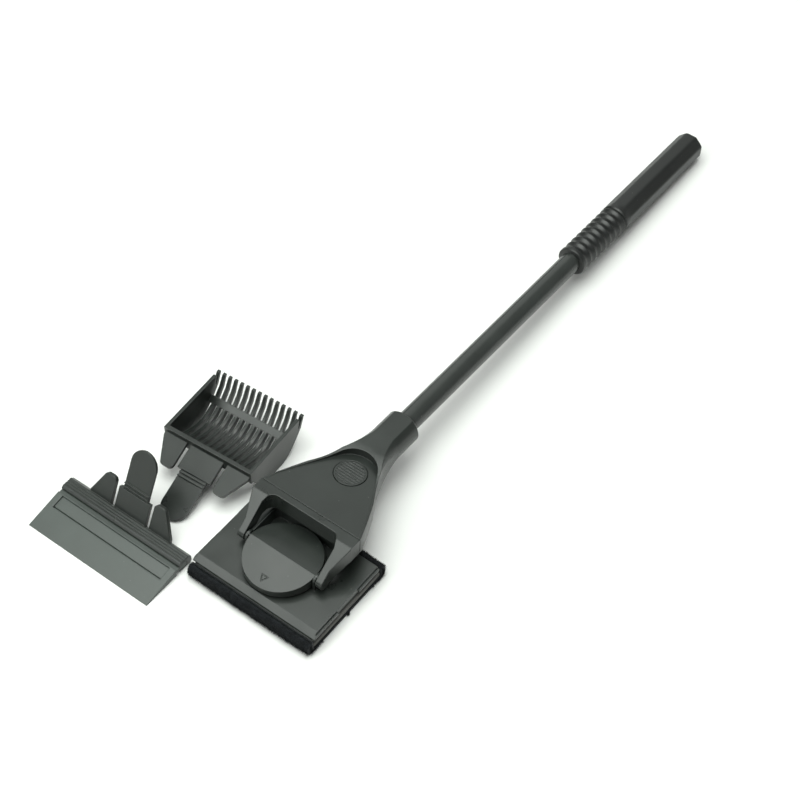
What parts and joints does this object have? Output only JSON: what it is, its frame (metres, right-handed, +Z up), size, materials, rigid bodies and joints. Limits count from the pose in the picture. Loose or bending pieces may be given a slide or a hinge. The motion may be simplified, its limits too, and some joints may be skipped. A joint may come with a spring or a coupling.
{
  "type": "algae scraper",
  "caption": "Long-handled aquarium scraper set: wide socket head with a swivelling fleece pad plugged in, and a loose scraper blade and plant rake that plug in instead.",
  "frame": {"origin": "on the table under the middle of the whole set's bounding box", "axes": "+X across the pad, +Y from the pad towards the grip, +Z up from the table"},
  "size_m": [0.1634, 0.438, 0.0395],
  "materials": {
    "black_plastic": "satin moulded plastic, fine grain",
    "grip_plastic": "satin moulded plastic, softer sheen",
    "coated_tube": "satin black coating",
    "blade_plastic": "smooth satin plastic",
    "fleece": "short black pile",
    "foam": "closed-cell foam",
    "steel": "plain stainless"
  },
  "bodies": {
    "handle": {"grip": "grip_plastic", "handle_tube": "coated_tube", "tube_plug_head": "black_plastic", "tube_plug_grip": "black_plastic", "head_upper_shell": "black_plastic", "head_lower_shell": "black_plastic", "head_screws": "steel"},
    "button": {"latch_button": "black_plastic"},
    "fork": {"swivel_fork": "black_plastic"},
    "pad": {"pad_cover": "black_plastic", "hinge_pins": "steel", "disc_spring": "steel"},
    "disc": {"release_disc": "black_plastic"},
    "sole": {"pad_base": "black_plastic", "foam_core": "foam", "fleece_wrap": "fleece", "fleece_clamps": "black_plastic"},
    "blade_head": {"blade_holder": "black_plastic"},
    "blade": {"scraper_blade": "blade_plastic"},
    "rake": {"rake": "black_plastic"}
  },
  "joints": [
    {"name": "tool_slide", "type": "slide", "parent": "handle", "child": "fork", "axis": [0, -0.9986, 0.0522], "range_m": [0, 0.045]},
    {"name": "latch_press", "type": "slide", "parent": "handle", "child": "button", "axis": [0, -0.0522, -0.9986], "range_m": [0, 0.001], "stiffness_N_per_m": 900, "springref_m": -0.0005},
    {"name": "pad_tilt", "type": "hinge", "parent": "fork", "child": "pad", "pos_m": [0.0427, -0.1644, 0.0182], "axis": [1, 0, 0], "range_deg": [-90, 5]},
    {"name": "disc_press", "type": "hinge", "parent": "pad", "child": "disc", "pos_m": [0.0427, -0.1644, 0.0182], "axis": [1, 0, 0], "range_deg": [0, 3.5], "stiffness_Nm_per_rad": 0.6, "deforming": ["disc_spring"]},
    {"name": "sole_release", "type": "slide", "parent": "pad", "child": "sole", "axis": [0, 0, -1], "range_m": [0, 0.012]},
    {"name": "blade_lift", "type": "slide", "parent": "handle", "child": "blade_head", "axis": [0, 0, 1], "range_m": [0, 0.06]},
    {"name": "blade_slide", "type": "slide", "parent": "blade_head", "child": "blade", "axis": [-1, 0, 0], "range_m": [0, 0.075]},
    {"name": "rake_lift", "type": "slide", "parent": "handle", "child": "rake", "axis": [0, 0.6, 0.8], "range_m": [0, 0.06]}
  ]
}
